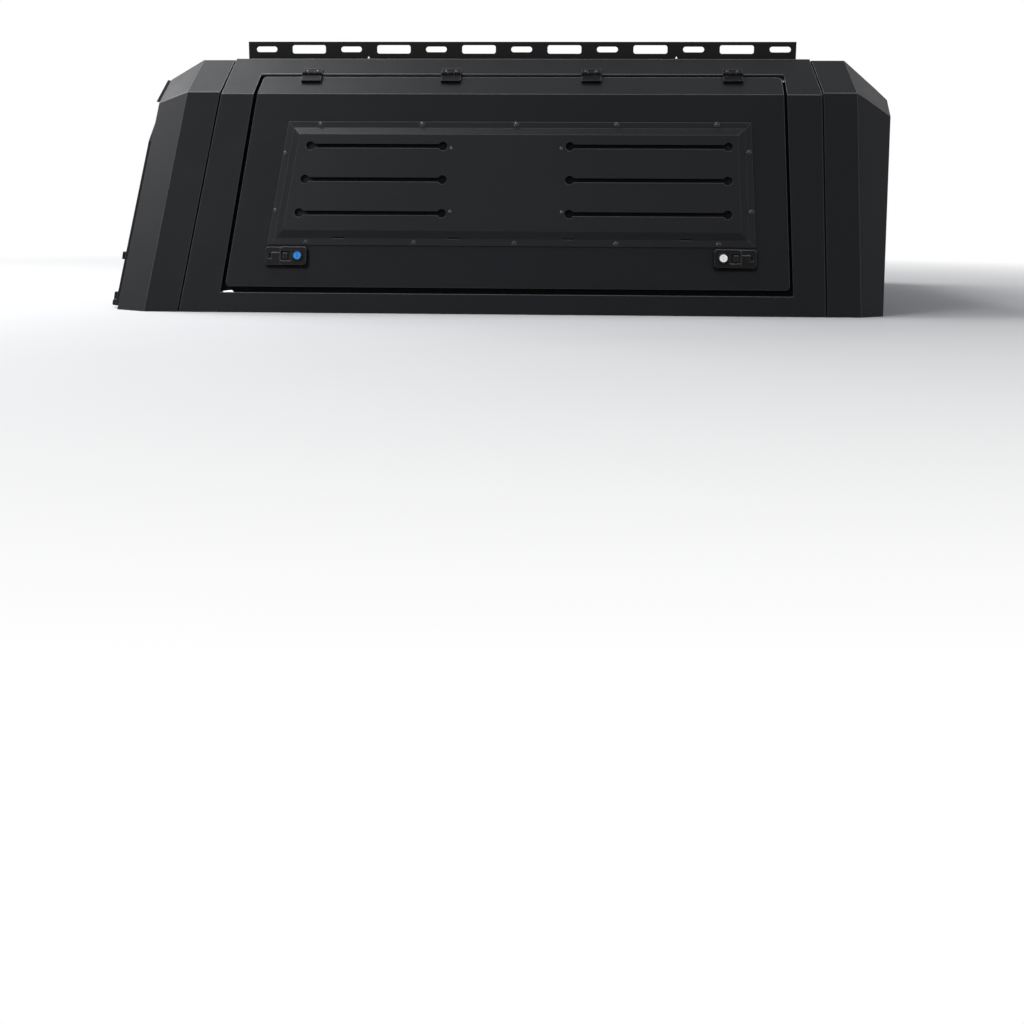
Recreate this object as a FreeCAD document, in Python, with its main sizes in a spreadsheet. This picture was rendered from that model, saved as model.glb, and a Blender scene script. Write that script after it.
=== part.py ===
import FreeCAD, Part
import math
import os
import re

import Sketcher
from FreeCAD import Placement, Rotation, Vector

# Pickup truck canopy: a folded steel shell over a short load bed, in millimetres.
# +X points forward to the cab, +Y to the vehicle's left, +Z up; z = 0 is the top of the bed rails.
# The right side (-Y) is drawn once and mirrored to the left.

SIZES = {
    # shell section across the vehicle
    "half_width": (750, "half the width over the sides at the bed rail"),
    "tumblehome": (15, "lean of the sides, degrees"),
    "crease_height": (461, "height of the crease between side and shoulder on the end caps"),
    "shoulder_angle": (37.15, "slope of the shoulder above level, degrees"),
    "shoulder_rise": (75, "rise of the end caps' shoulder from crease to roof"),
    "centre_drop": (3, "how far the centre section's crease lies below the caps'"),
    "centre_angle": (39.1, "slope of the centre's shoulder above level, degrees"),
    "centre_proud": (3, "how far the centre's roof stands over the caps' roof"),
    "wall": (28, "depth of the folded wall sections"),
    # rear cap, seen from the side
    "rear_base": (-818.05, "rear face at the bed rail"),
    "rear_rake": (10.04, "rake of the rear face, degrees"),
    "rear_crease_base": (-743.05, "where the side turns into the rear corner, at the bed rail"),
    "rear_crease_rake": (9.85, "rake of that edge, degrees"),
    "rear_corner_inset": (57.5, "how far the rear corner facet comes in from the side"),
    "rear_corner_drop": (20, "how far the rear corner facet ends below the crease"),
    "rear_cut_angle": (52.6, "turn of the rear face's upper corners from upright, degrees"),
    "rear_roof_end": (-649.15, "rear end of the roof"),
    "rear_drop": (40, "fall of the sloped rear roof"),
    "rear_seam_base": (-667.45, "joint between rear cap and centre, at the bed rail"),
    "rear_seam_rake": (9.65, "rake of that joint, degrees"),
    # front cap, seen from the side
    "front_base": (826.85, "front face at the bed rail"),
    "front_lean": (2.6, "forward lean of the front face, degrees"),
    "front_crease_base": (773.75, "where the side turns into the front corner, at the bed rail"),
    "front_crease_lean": (1.2, "backward lean of that edge, degrees"),
    "front_corner_inset": (42.3, "how far the front corner facet comes in from the side"),
    "front_corner_drop": (44, "how far the front corner facet ends below the crease, at the front face"),
    "front_facet_x": (783.75, "where the two upper corner facets part, along the vehicle"),
    "front_facet_drop": (9, "distance of that point below the crease"),
    "front_facet_top": (817.75, "where those facets part at the sloped front roof, along the vehicle"),
    "front_roof_end": (748.95, "front end of the roof"),
    "front_slope": (39.4, "fall of the sloped front roof, degrees"),
    "front_seam_base": (700.35, "joint between front cap and centre, at the bed rail"),
    "front_seam_lean": (1.29, "backward lean of that joint, degrees"),
    "front_seam_top_lean": (11.2, "its backward lean on the shoulder, degrees"),
    "seam_gap": (3.5, "width of the open groove at each joint"),
    "seam_depth": (10, "depth of that groove"),
    # side door
    "door_bottom": (54, "height of the door's lower edge"),
    "door_rear_base": (-577.15, "line of the door's rear edge at the bed rail"),
    "door_rear_rake": (8.21, "rake of the door's rear edge, degrees"),
    "door_front_base": (627.75, "line of the door's front edge at the bed rail"),
    "door_front_lean": (2.16, "backward lean of the door's front edge, degrees"),
    "door_lap": (61, "how far the door runs up the shoulder"),
    "door_gap": (5, "gap over the door"),
    "door_rear_gap": (8.5, "gap behind the door"),
    "door_front_gap": (6.5, "gap in front of the door"),
    "door_sill_gap": (12.5, "gap under the door"),
    "door_depth": (14, "depth of the door's folded rim"),
    "door_skin": (3, "thickness of the door's sheet"),
    "door_rim": (34, "width of the door's folded rim"),
    "door_corner": (9, "radius of the door's corners"),
    "stiffener_width": (30, "width of a bar behind the door's sheet"),
    "stiffener_pitch": (330, "distance between those bars"),
    "foot_width": (60, "width of the foot that lies on the bed rail"),
    "foot_thickness": (5, "thickness of that foot"),
    "seal_width": (20, "how far the door's rubber seal reaches into its opening"),
    "seal_depth": (9, "depth of the door seal"),
    # roof
    "roof_sheet": (3, "thickness of the roof's sheet"),
    "roof_rim": (22, "width of the roof's folded rim"),
    "bow_width": (40, "width of a cross member under the roof"),
    "bow_depth": (22, "depth of a cross member"),
    "bow_pitch": (410, "distance between cross members"),
    # slotted plate on the door
    "plate_bottom": (146, "distance of the plate's lower edge up the side"),
    "plate_drop": (61.15, "distance of its upper edge below the crease"),
    "plate_rear": (-480.65, "rear lower corner"),
    "plate_front": (553.85, "front lower corner"),
    "plate_rear_rake": (8.4, "rake of its rear edge, degrees"),
    "plate_front_lean": (2.5, "backward lean of its front edge, degrees"),
    "plate_sheet": (3, "sheet thickness of the plate"),
    "plate_flange": (14, "width of its bolted flange"),
    "plate_bevel": (16, "width of the bevel"),
    "plate_raise": (11, "height of the raised face"),
    "slot_height": (9, "width of a slot"),
    "slot_hole": (19, "diameter of the round slot ends"),
    "slot_rise": (6, "distance of the middle slot above the plate's middle"),
    "slot_pitch": (72.4, "distance between slots"),
    "slot_rear_start": (-402.15, "rear end of the middle rear slot"),
    "slot_rear_end": (-108.65, "inner end of the rear slots"),
    "slot_front_start": (160.85, "inner end of the front slots"),
    "slot_front_end": (493.35, "front end of the front slots"),
    "mitre_gap": (1.1, "height of the open mitre at each corner of the plate"),
    "drain_length": (23, "length of a drain slot at the foot of the bevel"),
    "drain_height": (3, "height of a drain slot"),
    "drain_first": (-328.55, "first drain slot"),
    "drain_pitch": (245, "distance between drain slots"),
    # latches on the door, their parts measured from the middle towards the key
    "latch_length": (88, "length of a latch housing"),
    "latch_height": (39, "height of a latch housing"),
    "latch_base": (9, "how far the housing's low end stands out"),
    "latch_depth": (12, "how far the rest of it stands out"),
    "latch_corner": (4, "chamfer of its corners"),
    "latch_step": (-13, "where the low end begins"),
    "slide_hole_start": (-38, "outer end of the hole of the slide"),
    "slide_hole_end": (-31, "inner end of that hole"),
    "slide_hole_height": (10, "height of that hole"),
    "slide_height": (15, "height of the slide"),
    "slide_raise": (1.5, "how far the slide stands out of the low end"),
    "paddle_start": (-10, "outer end of the recess of the paddle"),
    "paddle_end": (11, "inner end of that recess"),
    "paddle_height": (21, "height of that recess"),
    "paddle_sink": (5, "depth of the recesses"),
    "paddle_margin": (4, "gap around the paddle"),
    "latch_rear": (-438.65, "middle of the rear latch"),
    "latch_front": (510.35, "middle of the front latch"),
    "latch_rise": (120, "distance of the latches up the side"),
    "key_radius": (10, "radius of a key cap"),
    "key_offset": (25, "distance of a key cap from the middle of its latch"),
    "key_depth": (3, "how far a key cap stands out of its latch"),
    "key_slot": (1.6, "width of the key's slot"),
    # door hinges
    "hinge_middle": (52.85, "middle of the row of hinges"),
    "hinge_pitch": (302, "distance between hinges"),
    "hinge_width": (42, "width of a hinge"),
    "hinge_leaf": (24, "length of a leaf from the pin"),
    "hinge_sheet": (3, "thickness of a leaf"),
    "hinge_block": (6, "thickness of the door's leaf"),
    "knuckle_radius": (5, "radius of the hinge barrel"),
    "knuckle_rise": (6, "height of the pin above the shoulder"),
    "pin_radius": (2, "radius of the hinge pin"),
    "pin_gap": (0.1, "running clearance around a pin"),
    "knuckle_gap": (0.5, "side clearance between barrels"),
    "weld_lap": (0.1, "how far a leaf laps its barrel"),
    # roof rails
    "rail_rear": (-553.15, "rear end of a roof rail"),
    "rail_front": (647.85, "front end of a roof rail"),
    "rail_height": (38, "height of a roof rail"),
    "rail_sheet": (3, "thickness of a roof rail"),
    "rail_foot": (36, "width of the rail's foot"),
    "rail_notch": (8, "width and height of the notches in the rail's foot"),
    "rail_notch_rear": (-287.25, "rear notch"),
    "rail_notch_front": (388.75, "front notch"),
    "rail_inset": (20, "distance of the rail from the roof's edge"),
    "rail_slot_rise": (22, "height of the slots above the roof"),
    "rail_middle": (50.35, "middle of the row of slots"),
    "rail_pitch": (187.7, "distance between slots of one kind"),
    "short_slot_length": (46, "length of a short slot"),
    "short_slot_height": (12, "height of a short slot"),
    "long_slot_length": (74, "length of a long slot"),
    "long_slot_height": (18, "height of a long slot"),
    "long_slot_corner": (5, "radius of its corners"),
    # rear hatch
    "hatch_stand": (9, "distance of the hatch from the rear face"),
    "hatch_depth": (12, "depth of the hatch frame"),
    "hatch_inset": (52, "distance of the hatch's side edge from the corner edge"),
    "hatch_corner_angle": (38, "turn of the hatch's upper corners from upright, degrees"),
    "hatch_turn": (365, "where they turn, distance up the rear face"),
    "hatch_bottom": (2, "lower edge, distance up the rear face"),
    "hatch_drop": (16, "distance of the hatch's upper edge below the rear lip"),
    "hatch_border": (62, "width of the frame around the glass"),
    "glass_depth": (5, "thickness of the glass"),
    "opening_inset": (80, "distance of the rear opening's edge from the corner edge"),
    "hatch_seal_height": (4, "how far the hatch seal stands off the rear face"),
    "hatch_seal_width": (14, "width of the hatch seal"),
    "hatch_seal_margin": (5, "distance of the hatch seal from the rear opening"),
    "hatch_pin_rise": (8, "distance of the hatch pins above the hatch's upper edge"),
    "hatch_pin_stand": (6, "distance of the hatch pins from the hatch's outer face"),
    "hatch_hinge_spread": (320, "distance of each hatch hinge from the middle"),
    "hatch_hinge_width": (50, "width of a hatch hinge"),
    "strap_length": (35, "length of the hinge's strap on the sloped roof"),
    "strap_half": (3, "half the strap's width at the pin"),
    "blade_length": (45, "length of the hinge's blade on the hatch"),
    "catch_inset": (22, "distance of a catch from the hatch's side edge"),
    "catch_length": (40, "length of a catch"),
    "catch_height": (16, "height of a catch"),
    "catch_depth": (7, "how far a catch stands out"),
    "catch_low": (22, "lower catches, distance up the rear face"),
    "catch_high": (110, "upper catches, distance up the rear face"),
    "knob_radius": (6.5, "radius of a knob"),
    "knob_rise": (6.5, "distance of the knobs up the rear face"),
    "knob_length": (9, "length of a knob"),
    "knob_inset": (12, "distance of a knob from the hatch's side edge"),
    # gutter over the hatch
    "gutter_margin": (2, "distance of the gutter from the rear lip"),
    "gutter_sheet": (3, "thickness of the gutter"),
    "gutter_height": (8, "how far the gutter stands off the rear face"),
    "gutter_gap": (6, "gap between the gutter and each hinge"),
    # front window
    "window_bottom": (120, "lower edge of the front window"),
    "window_margin": (17, "distance of its upper edge below the front corner facets' top"),
    "window_half": (470, "half the width of the front window"),
    "window_border": (18, "rubber border of the front window"),
    "window_seal_sink": (6, "distance of that border behind the front face"),
    "window_seal_depth": (16, "depth of that border"),
    "window_sink": (12, "distance of the pane behind the front face"),
}

doc = FreeCAD.newDocument("truck_canopy")
sheet = doc.addObject("Spreadsheet::Sheet", "Sizes")
for row, (alias, (amount, note)) in enumerate(SIZES.items(), 1):
    sheet.set(f"A{row}", alias)
    sheet.set(f"B{row}", str(amount))
    sheet.setAlias(f"B{row}", alias)
    sheet.set(f"C{row}", note)
doc.recompute()

# Heights that follow from the sizes, each from those after it
FOLLOWING = {
    "slot_middle": "((plate_bottom + plate_top)/2 + slot_rise)",
    "plate_top": "(centre_crease/cos(tumblehome) - plate_drop)",
    "centre_roof": "(roof_height + centre_proud)",
    "centre_crease": "(crease_height - centre_drop)",
    "roof_height": "(crease_height + shoulder_rise)",
}
ALIASES = re.compile(r"\b(" + "|".join(SIZES) + r")\b")
REACH = "3000"


def bound(text):
    """The expression text with each name led back to the sheet."""
    text = str(text)
    for name, formula in FOLLOWING.items():
        text = re.sub(rf"\b{name}\b", formula, text)
    return ALIASES.sub(r"Sizes.\1", text)


def number(text):
    """The value that an expression has now."""
    return float(sheet.evalExpression(bound(text)))


# Lines of the shell's section; y is a distance from the centre plane, depth goes inwards

def side_y(height, depth="0"):
    return f"(half_width - ({height})*tan(tumblehome) - ({depth})/cos(tumblehome))"


def crease(depth):
    """The fold between the centre's side and shoulder, both so deep."""
    rise = f"({depth})*(tan(centre_angle)/cos(tumblehome) - 1/cos(centre_angle))"
    height = f"(centre_crease + {rise}/(1 - tan(tumblehome)*tan(centre_angle)))"
    return side_y(height, depth), height


def shoulder(run, depth="0"):
    """A point on the centre's shoulder, a run up from its outer crease, and so deep."""
    y, z = side_y("centre_crease"), "centre_crease"
    return (f"({y} - ({run})*cos(centre_angle) - ({depth})*sin(centre_angle))",
            f"({z} + ({run})*sin(centre_angle) - ({depth})*cos(centre_angle))")


def roof_edge(depth):
    """Where the centre's shoulder meets its roof, both so deep."""
    height = f"(centre_roof - ({depth}))"
    rise = f"({height} - centre_crease + ({depth})/cos(centre_angle))"
    return f"({side_y('centre_crease')} - {rise}/tan(centre_angle))", height


# Lines of the side view; x at a height

def rear_seam(height):
    return f"(rear_seam_base + ({height})*tan(rear_seam_rake))"


def front_seam(height):
    return f"(front_seam_base - ({height})*tan(front_seam_lean))"


def front_seam_top(height):
    return f"({front_seam('crease_height')} - (({height}) - crease_height)*tan(front_seam_top_lean))"


def door_rear(height, grow="0"):
    return f"(door_rear_base + ({height})*tan(door_rear_rake) - ({grow}))"


def door_front(height, grow="0"):
    return f"(door_front_base - ({height})*tan(door_front_lean) + ({grow}))"


REAR_CORNER = "(crease_height - rear_corner_drop)"
REAR_LIP = "(roof_height - rear_drop)"
FRONT_CORNER = "(crease_height - front_corner_drop)"
FRONT_FACET = "(crease_height - front_facet_drop)"
WINDOW_TOP = f"({FRONT_CORNER} - window_margin)"
HATCH_TOP = f"({REAR_LIP}/cos(rear_rake) - hatch_drop)"


# Drawing helpers

def place(sketch, geometry, position, x, y):
    """Holds a point of the sketch at x, y."""
    for kind, text in (("DistanceX", x), ("DistanceY", y)):
        index = sketch.addConstraint(
            Sketcher.Constraint(kind, -1, 1, geometry, position, number(text)))
        sketch.setExpression(f"Constraints[{index}]", bound(text))


def polygon(*points):
    """A closed outline through points given as pairs of expressions."""
    def draw(sketch):
        first = sketch.GeometryCount
        corners = [Vector(number(x), number(y), 0) for x, y in points]
        for i, corner in enumerate(corners):
            sketch.addGeometry(Part.LineSegment(corner, corners[(i + 1) % len(corners)]), False)
        for i, (x, y) in enumerate(points):
            before = first + (i - 1) % len(points)
            sketch.addConstraint(Sketcher.Constraint("Coincident", before, 2, first + i, 1))
            place(sketch, first + i, 1, x, y)
    return draw


def rectangle(x0, y0, x1, y1):
    return polygon((x0, y0), (x1, y0), (x1, y1), (x0, y1))


def circle(x, y, radius):
    def draw(sketch):
        centre = Vector(number(x), number(y), 0)
        index = sketch.addGeometry(Part.Circle(centre, Vector(0, 0, 1), number(radius)), False)
        place(sketch, index, 3, x, y)
        held = sketch.addConstraint(Sketcher.Constraint("Radius", index, number(radius)))
        sketch.setExpression(f"Constraints[{held}]", bound(radius))
    return draw


def stadium(x, y, length, height):
    """A level slot with round ends."""
    def draw(sketch):
        cx, cy, half = number(x), number(y), number(height)/2
        run = number(length)/2 - half
        low = sketch.addGeometry(
            Part.LineSegment(Vector(cx - run, cy - half, 0), Vector(cx + run, cy - half, 0)), False)
        right = sketch.addGeometry(Part.ArcOfCircle(
            Part.Circle(Vector(cx + run, cy, 0), Vector(0, 0, 1), half), -math.pi/2, math.pi/2), False)
        high = sketch.addGeometry(
            Part.LineSegment(Vector(cx + run, cy + half, 0), Vector(cx - run, cy + half, 0)), False)
        left = sketch.addGeometry(Part.ArcOfCircle(
            Part.Circle(Vector(cx - run, cy, 0), Vector(0, 0, 1), half), math.pi/2, 3*math.pi/2), False)
        for before, after in ((low, right), (right, high), (high, left), (left, low)):
            sketch.addConstraint(Sketcher.Constraint("Coincident", before, 2, after, 1))
        reach = f"(({length}) - ({height}))/2"
        place(sketch, low, 1, f"{x} - {reach}", f"{y} - ({height})/2")
        place(sketch, low, 2, f"{x} + {reach}", f"{y} - ({height})/2")
        place(sketch, high, 1, f"{x} + {reach}", f"{y} + ({height})/2")
        place(sketch, high, 2, f"{x} - {reach}", f"{y} + ({height})/2")
        for arc, sign in ((right, "+"), (left, "-")):
            index = sketch.addConstraint(
                Sketcher.Constraint("DistanceX", -1, 1, arc, 3, number(f"{x} {sign} {reach}")))
            sketch.setExpression(f"Constraints[{index}]", bound(f"{x} {sign} {reach}"))
    return draw


def rounded(x, y, length, height, radius):
    """A level slot with rounded corners."""
    def draw(sketch):
        west, east = f"({x} - {length}/2)", f"({x} + {length}/2)"
        low, high = f"({y} - {height}/2)", f"({y} + {height}/2)"
        sides = [((f"{west} + {radius}", low), (f"{east} - {radius}", low)),
                 ((east, f"{low} + {radius}"), (east, f"{high} - {radius}")),
                 ((f"{east} - {radius}", high), (f"{west} + {radius}", high)),
                 ((west, f"{high} - {radius}"), (west, f"{low} + {radius}"))]
        lines = []
        for side in sides:
            ends = [Vector(number(a), number(b), 0) for a, b in side]
            line = sketch.addGeometry(Part.LineSegment(*ends), False)
            for position, (a, b) in enumerate(side, 1):
                place(sketch, line, position, a, b)
            lines.append(line)
        for i, side in enumerate(sides):
            turn, size = math.pi/2*(i - 1), number(radius)
            start = Vector(number(side[1][0]), number(side[1][1]), 0)
            centre = start - Vector(math.cos(turn), math.sin(turn), 0)*size
            arc = sketch.addGeometry(
                Part.ArcOfCircle(Part.Circle(centre, Vector(0, 0, 1), size), turn, turn + math.pi/2), False)
            sketch.addConstraint(Sketcher.Constraint("Coincident", lines[i], 2, arc, 1))
            sketch.addConstraint(Sketcher.Constraint("Coincident", arc, 2, lines[(i + 1) % 4], 1))
            held = sketch.addConstraint(Sketcher.Constraint("Radius", arc, size))
            sketch.setExpression(f"Constraints[{held}]", bound(radius))
    return draw


def new_body(label):
    body = doc.addObject("PartDesign::Body", label)
    body.Label = label
    return body


def sketch_on(body, plane, *loops, offset="0"):
    sketch = body.newObject("Sketcher::SketchObject", f"{body.Name}_outline")
    origin = next(f for f in body.Origin.OriginFeatures if f.Role == plane)
    sketch.AttachmentSupport = (origin, [""])
    sketch.MapMode = "FlatFace"
    sketch.setExpression("AttachmentOffset.Base.z", bound(offset))
    for loop in loops:
        loop(sketch)
    return sketch


def pad(body, plane, *loops, length, offset="0", both=False):
    sketch = sketch_on(body, plane, *loops, offset=offset)
    feature = body.newObject("PartDesign::Pad", f"{body.Name}_pad")
    feature.Profile = sketch
    feature.setExpression("Length", bound(length))
    feature.Midplane = both
    return feature


def pocket(body, plane, *loops):
    """Cuts the loops through the whole body, both ways from the plane."""
    doc.recompute()
    before = body.Shape.Volume
    sketch = sketch_on(body, plane, *loops)
    feature = body.newObject("PartDesign::Pocket", f"{body.Name}_pocket")
    feature.Profile = sketch
    feature.Type = "ThroughAll"
    feature.Midplane = True
    doc.recompute()
    if not body.Shape.Volume < before:
        raise RuntimeError(f"a pocket of {body.Label} cuts nothing")
    return feature


def recess(body, plane, *loops, top, depth):
    """Sinks the loops into the body, so deep from a face that lies so far from the plane."""
    sketch = sketch_on(body, plane, *loops, offset=top)
    feature = body.newObject("PartDesign::Pocket", f"{body.Name}_recess")
    feature.Profile = sketch
    feature.setExpression("Length", bound(depth))
    return feature


def round_edges(body, radius, chosen):
    """Rounds the edges that the test chooses."""
    doc.recompute()
    names = [f"Edge{i}" for i, edge in enumerate(body.Tip.Shape.Edges, 1) if chosen(edge)]
    feature = body.newObject("PartDesign::Fillet", f"{body.Name}_rounding")
    feature.Base = (feature.BaseFeature, names)
    feature.setExpression("Radius", bound(radius))
    return feature


def keep(body, plane, *points):
    """Trims the body to an outline on one of its planes."""
    return pocket(body, plane, rectangle(f"-{REACH}", f"-{REACH}", REACH, REACH), polygon(*points))


def stand(body, x="0", y="0", z="0", yaw="0", tilt="0"):
    """Sets the body's own frame: turned by tilt about X, then by yaw about Z, then moved."""
    body.setExpression("Placement", bound(
        f"create(<<placement>>; create(<<vector>>; {x}; {y}; {z}); "
        f"create(<<rotation>>; create(<<vector>>; 0; 0; 1); {yaw}) * "
        f"create(<<rotation>>; create(<<vector>>; 1; 0; 0); {tilt}))"))


def minus(y):
    return f"-({y})"


SUBPARTS = []


def finished(part):
    SUBPARTS.append(part)
    return part


def cut_away(label, blank, tool):
    """The piece that is left of a blank body when a tool body is taken from it."""
    cut = doc.addObject("Part::Cut", label)
    cut.Label = label
    cut.Base = blank
    cut.Tool = tool
    return finished(cut)


def mirrored(part):
    """The same piece on the vehicle's left."""
    copy = doc.addObject("Part::Mirroring", part.Label.replace("right", "left"))
    copy.Label = part.Label.replace("right", "left")
    copy.Source = part
    copy.Normal = Vector(0, 1, 0)
    copy.Base = Vector(0, 0, 0)
    return finished(copy)


# Centre section: roof, and for the right side a header and a wall around the door

CEILING = "(centre_roof + wall)"
DOOR_SILL = "(door_bottom - door_sill_gap)"
HEADER_RUN = "(door_lap + door_gap)"


def right_side(*pairs):
    """Section points on the right side, from pairs of (y, z)."""
    return polygon(*[(minus(y), z) for y, z in pairs])


def between_seams(low, high):
    """The outline between the two cap joints, in the side view."""
    return ((rear_seam(low), low), (front_seam(low), low), (front_seam("crease_height"), "crease_height"),
            (front_seam_top(high), high), (rear_seam(high), high))


def long_pad(body, *loops):
    return pad(body, "YZ_Plane", *loops, length=REACH, both=True)


def across(edge):
    """A whole outline from its right half."""
    return edge + [(minus(x), y) for x, y in reversed(edge)]


def build_roof():
    """A sheet with a folded rim along each side, and the cross members under it."""
    body = new_body("roof_panel")
    (y0, z0), (y1, z1) = roof_edge("0"), roof_edge("wall")
    rim, under = f"({y1} - roof_rim)", f"({z0} - roof_sheet)"
    half = [(y0, z0), (y1, z1), (rim, z1), (rim, under)]
    long_pad(body, polygon(*across(half)))
    keep(body, "XZ_Plane", *between_seams("0", CEILING))
    finished(body)
    bows = new_body("roof_bows")
    foot = f"({under} - bow_depth)"
    for step in (-1, 0, 1):
        middle = f"rail_middle + {step}*bow_pitch"
        low, high = f"({middle} - bow_width/2)", f"({middle} + bow_width/2)"
        near, far, inner = f"{low} + roof_sheet", f"{high} - roof_sheet", f"{foot} + roof_sheet"
        channel = polygon((low, under), (low, foot), (high, foot), (high, under), (far, under), (far, inner),
                          (near, inner), (near, under))
        pad(bows, "XZ_Plane", channel, length=f"2*{rim}", both=True)
    return finished(bows)


def door_lines(height, rear_grow, front_grow):
    return door_rear(height, rear_grow), door_front(height, front_grow)


def build_header():
    """The shoulder, from crease to roof, with the door's notch in it."""
    blank = new_body("right_side_header_blank")
    long_pad(blank, right_side(crease("0"), roof_edge("0"), roof_edge("wall"), crease("wall")))
    keep(blank, "XZ_Plane", *between_seams("0", CEILING))
    tool = new_body("right_side_header_notch")
    long_pad(tool, right_side(
        shoulder("-2*wall", "-wall"), shoulder(HEADER_RUN, "-wall"), shoulder(HEADER_RUN, "2*wall"),
        shoulder("-2*wall", "2*wall")))
    keep(tool, "XZ_Plane", *door_outline("door_rear_gap", "door_front_gap", "door_sill_gap", CEILING))
    return cut_away("right_side_header", blank, tool)


def door_outline(rear_grow, front_grow, drop, high):
    """The door's outline in the side view, each edge moved out by its amount."""
    low = f"(door_bottom - ({drop}))"
    (a, b), (c, d) = door_lines(low, rear_grow, front_grow), door_lines(high, rear_grow, front_grow)
    return (a, low), (b, low), (d, high), (c, high)


def build_side_wall():
    """The side, from bed rail to crease, with its foot and the door opening."""
    body = new_body("right_side_wall")
    long_pad(body, right_side(
        (side_y("0"), "0"), crease("0"), crease("wall"), (side_y("foot_thickness", "wall"), "foot_thickness"),
        (side_y("foot_thickness", "foot_width"), "foot_thickness"), (side_y("0", "foot_width"), "0")))
    keep(body, "XZ_Plane", *between_seams("0", CEILING))
    pocket(body, "XZ_Plane",
           polygon(*door_outline("door_rear_gap", "door_front_gap", "door_sill_gap", CEILING)))
    return finished(body)


def build_seal():
    """Rubber clipped to the edge of the door opening, behind the door."""
    body = new_body("right_door_seal")
    top = "(wall - seal_depth)"
    rim = "seal_width"
    long_pad(body, right_side(
        (side_y(DOOR_SILL, top), DOOR_SILL), crease(top), shoulder(HEADER_RUN, top),
        shoulder(HEADER_RUN, "wall"), crease("wall"), (side_y(DOOR_SILL, "wall"), DOOR_SILL)))
    keep(body, "XZ_Plane", *door_outline("door_rear_gap", "door_front_gap", "door_sill_gap", CEILING))
    inner_top = shoulder(f"({HEADER_RUN} - {rim})", f"({top} + wall)/2")[1]
    pocket(body, "XZ_Plane", polygon(*door_outline(
        f"door_rear_gap - {rim}", f"door_front_gap - {rim}", f"door_sill_gap - {rim}", inner_top)))
    return finished(body)


# Side door, its slotted plate, latches and hinges

def build_door():
    """A sheet bent over the crease, folded back all round, with bars behind it."""
    blank = new_body("right_door_panel_blank")
    long_pad(blank, right_side(
        (side_y("door_bottom"), "door_bottom"), crease("0"), shoulder("door_lap"),
        shoulder("door_lap", "door_depth"), crease("door_depth"),
        (side_y("door_bottom", "door_depth"), "door_bottom")))
    keep(blank, "XZ_Plane", *door_outline("0", "0", "0", CEILING))
    round_edges(blank, "door_corner", lambda edge: edge.Length < 2*number("door_depth"))
    tool = new_body("right_door_panel_hollow")
    on_side(tool)
    low = "(door_bottom/cos(tumblehome) + door_rim)"
    high = "(centre_crease/cos(tumblehome) - door_rim)"
    corners = []
    for rise in (low, high):
        corners.append([(x, rise) for x in door_lines(f"({rise}*cos(tumblehome))", "-door_rim", "-door_rim")])
    (a, b), (c, d) = corners
    pad(tool, "XY_Plane", polygon(a, b, d, c), length="door_depth", offset="-(door_depth + door_skin)")
    cut_away("right_door_panel", blank, tool)
    bars = new_body("right_door_stiffeners")
    on_side(bars)
    for step in (-1, 0, 1):
        middle = f"(rail_middle + {step}*stiffener_pitch)"
        start, end = f"{middle} - stiffener_width/2", f"{middle} + stiffener_width/2"
        pad(bars, "XY_Plane", rectangle(start, low, end, high), length="door_depth - door_skin",
            offset="-door_depth")
    return finished(bars)


def on_side(body):
    """Lays the body's XY plane on the right side face: X forward, Y up the side, Z outwards."""
    stand(body, y="-half_width", tilt="90 - tumblehome")


def plate_corners(inset):
    """Rear and front corners of the plate's outline moved in, low and then high."""
    rows = []
    for level in (f"(plate_bottom + ({inset}))", f"(plate_top - ({inset}))"):
        up = f"({level} - plate_bottom)"
        rows.append([(f"(plate_rear + ({inset}) + {up}*tan(plate_rear_rake))", level),
                     (f"(plate_front - ({inset}) - {up}*tan(plate_front_lean))", level)])
    return rows


def plate_outline(inset):
    (low_rear, low_front), (high_rear, high_front) = plate_corners(inset)
    return polygon(low_rear, low_front, high_front, high_rear)


def loft(body, kind, low, low_height, high, high_height):
    lower = sketch_on(body, "XY_Plane", low, offset=low_height)
    upper = sketch_on(body, "XY_Plane", high, offset=high_height)
    feature = body.newObject(kind, f"{body.Name}_loft")
    feature.Profile = lower
    feature.Sections = [upper]
    feature.Ruled = True
    return feature


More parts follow.
